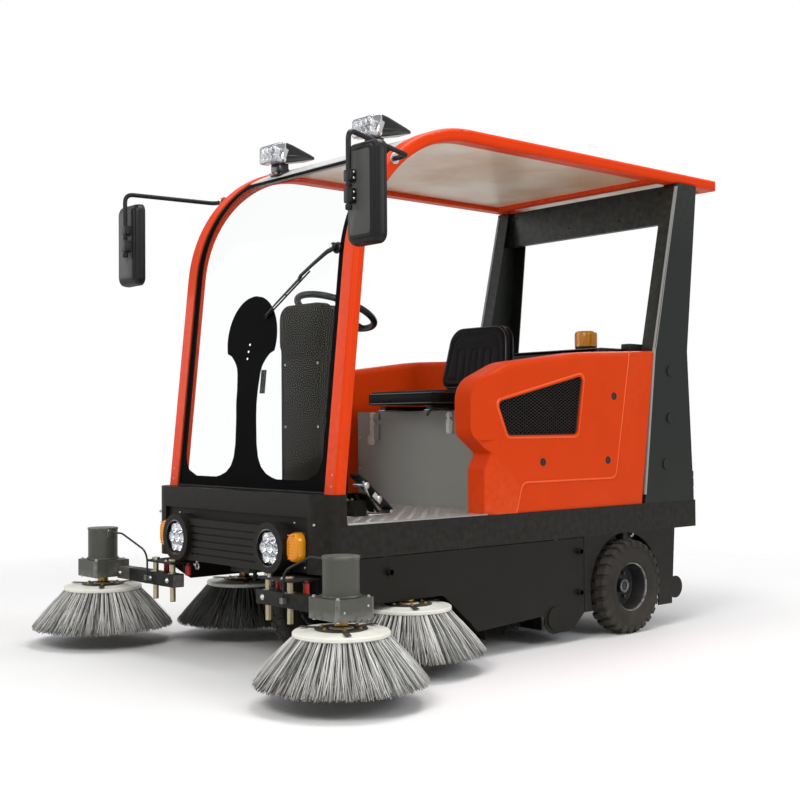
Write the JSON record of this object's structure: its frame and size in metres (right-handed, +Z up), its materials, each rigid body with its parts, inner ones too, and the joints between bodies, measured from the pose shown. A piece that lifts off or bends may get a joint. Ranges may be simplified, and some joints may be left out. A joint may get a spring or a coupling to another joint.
{
  "type": "compact road sweeper",
  "caption": "Ride-on electric road sweeper with a curved windscreen canopy, disc brushes on slides, a transverse main broom, a rear hopper and a single steered front wheel",
  "frame": {"origin": "middle of the footprint of the whole machine, on the ground", "axes": "+Y to the rear, +X to the left side of the vehicle, +Z up; the front faces -Y"},
  "size_m": [2.2346, 2.8163, 2.1423],
  "materials": {
    "skirt_paint": "satin",
    "orange_paint": "gloss",
    "orange_plastic": "gloss",
    "box_grey": "satin",
    "battery_black": "matte",
    "amber_lens": "gloss",
    "red_lens": "gloss",
    "clear_lens": "gloss",
    "lamp_chrome": "polished",
    "chassis_paint": "satin",
    "hopper_paint": "satin",
    "pillar_paint": "satin",
    "motor_grey": "satin",
    "zinc_plate": "satin",
    "bristle": "matte",
    "flap_rubber": "matte",
    "floor_aluminium": "satin",
    "rim_grey": "satin",
    "tyre": "matte",
    "black_plastic": "matte",
    "cast_grey": "matte",
    "roof_white": "gloss",
    "seat_black": "satin",
    "glass": "polished"
  },
  "bodies": {
    "chassis": {"access_panels": "skirt_paint", "arch_guards": "skirt_paint", "battery_box": "box_grey", "battery_pack": "battery_black", "beacon": "amber_lens", "broom_housing": "chassis_paint", "brush_carrier": "zinc_plate", "canopy_bars": "orange_paint", "canopy_rails": "orange_paint", "console": "black_plastic", "cross_members": "chassis_paint", "deck_plate": "chassis_paint", "dust_flaps": "flap_rubber", "floor_plate": "floor_aluminium", "frame_rails": "chassis_paint", "front_bumper": "skirt_paint", "headlamps": "clear_lens", "indicator_lamps": "amber_lens", "lamp_panel": "skirt_paint", "mirrors": "black_plastic", "rear_axle": "cast_grey", "rear_header": "pillar_paint", "rear_hood": "hopper_paint", "rear_pillars": "pillar_paint", "roof_lamps": "lamp_chrome", "roof_panel": "roof_white", "side_panels": "orange_plastic", "skirt_bands": "skirt_paint", "tail_lamps": "red_lens", "vent_grilles": "black_plastic", "windscreen": "glass", "wiper": "black_plastic"},
    "steering": {"steering_fork": "cast_grey"},
    "front_wheel": {"front_rim": "rim_grey", "front_tyre": "tyre"},
    "rear_wheel_left": {"rear_rim_left": "rim_grey", "rear_tyre_left": "tyre"},
    "rear_wheel_right": {"rear_rim_right": "rim_grey", "rear_tyre_right": "tyre"},
    "hand_wheel": {"steering_wheel": "black_plastic"},
    "front_arm_left": {"brush_arm_left": "motor_grey", "motor_cable_left": "black_plastic"},
    "front_arm_right": {"brush_arm_right": "motor_grey", "motor_cable_right": "black_plastic"},
    "front_brush_left": {"brush_left": "bristle"},
    "front_brush_right": {"brush_right": "bristle"},
    "mid_arm_left": {"mid_drive_left": "motor_grey"},
    "mid_arm_right": {"mid_drive_right": "motor_grey"},
    "mid_sweep_left": {"mid_brush_left": "bristle"},
    "mid_sweep_right": {"mid_brush_right": "bristle"},
    "broom": {"main_broom": "bristle"},
    "seat_lid": {"box_lid": "box_grey", "seat_frame": "chassis_paint", "seat_pads": "seat_black"},
    "debris_hopper": {"hopper": "hopper_paint"}
  },
  "joints": [
    {"name": "front_steer", "type": "hinge", "parent": "chassis", "child": "steering", "pos_m": [0, -0.6, 0.5], "axis": [0, 0, 1], "range_deg": [-60, 60]},
    {"name": "front_wheel_spin", "type": "hinge", "parent": "steering", "child": "front_wheel", "pos_m": [0, -0.6, 0.204], "axis": [1, 0, 0], "continuous": true},
    {"name": "rear_wheel_left_spin", "type": "hinge", "parent": "chassis", "child": "rear_wheel_left", "pos_m": [0.572, 0.678, 0.204], "axis": [1, 0, 0], "continuous": true},
    {"name": "rear_wheel_right_spin", "type": "hinge", "parent": "chassis", "child": "rear_wheel_right", "pos_m": [-0.572, 0.678, 0.204], "axis": [1, 0, 0], "continuous": true},
    {"name": "hand_wheel_turn", "type": "hinge", "parent": "chassis", "child": "hand_wheel", "pos_m": [0, -0.478, 1.392], "axis": [0, 0.3746, 0.9272], "range_deg": [-360, 360]},
    {"name": "front_arm_left_lift", "type": "slide", "parent": "chassis", "child": "front_arm_left", "axis": [0, 0, 1], "range_m": [-0.056, 0.035]},
    {"name": "front_brush_left_spin", "type": "hinge", "parent": "front_arm_left", "child": "front_brush_left", "pos_m": [0.822, -1.112, 0.236], "axis": [0, 0, 1], "continuous": true},
    {"name": "mid_arm_left_lift", "type": "slide", "parent": "chassis", "child": "mid_arm_left", "axis": [0, 0, 1], "range_m": [-0.056, 0]},
    {"name": "mid_brush_left_spin", "type": "hinge", "parent": "mid_arm_left", "child": "mid_sweep_left", "pos_m": [0.546, -0.571, 0.236], "axis": [0, 0, 1], "continuous": true},
    {"name": "front_arm_right_lift", "type": "slide", "parent": "chassis", "child": "front_arm_right", "axis": [0, 0, 1], "range_m": [-0.056, 0.035]},
    {"name": "front_brush_right_spin", "type": "hinge", "parent": "front_arm_right", "child": "front_brush_right", "pos_m": [-0.822, -1.112, 0.236], "axis": [0, 0, 1], "continuous": true},
    {"name": "mid_arm_right_lift", "type": "slide", "parent": "chassis", "child": "mid_arm_right", "axis": [0, 0, 1], "range_m": [-0.056, 0]},
    {"name": "mid_brush_right_spin", "type": "hinge", "parent": "mid_arm_right", "child": "mid_sweep_right", "pos_m": [-0.546, -0.571, 0.236], "axis": [0, 0, 1], "continuous": true},
    {"name": "broom_spin", "type": "hinge", "parent": "chassis", "child": "broom", "pos_m": [0, 0.215, 0.152], "axis": [1, 0, 0], "continuous": true},
    {"name": "seat_lid_tip", "type": "hinge", "parent": "chassis", "child": "seat_lid", "pos_m": [0, 0.456, 0.962], "axis": [-1, 0, 0], "range_deg": [0, 35]},
    {"name": "hopper_slide", "type": "slide", "parent": "chassis", "child": "debris_hopper", "axis": [0, 1, 0], "range_m": [0, 0.6]}
  ],
  "couplings": [
    {"joint": "hand_wheel_turn", "follows": "front_steer", "ratio": 6}
  ]
}
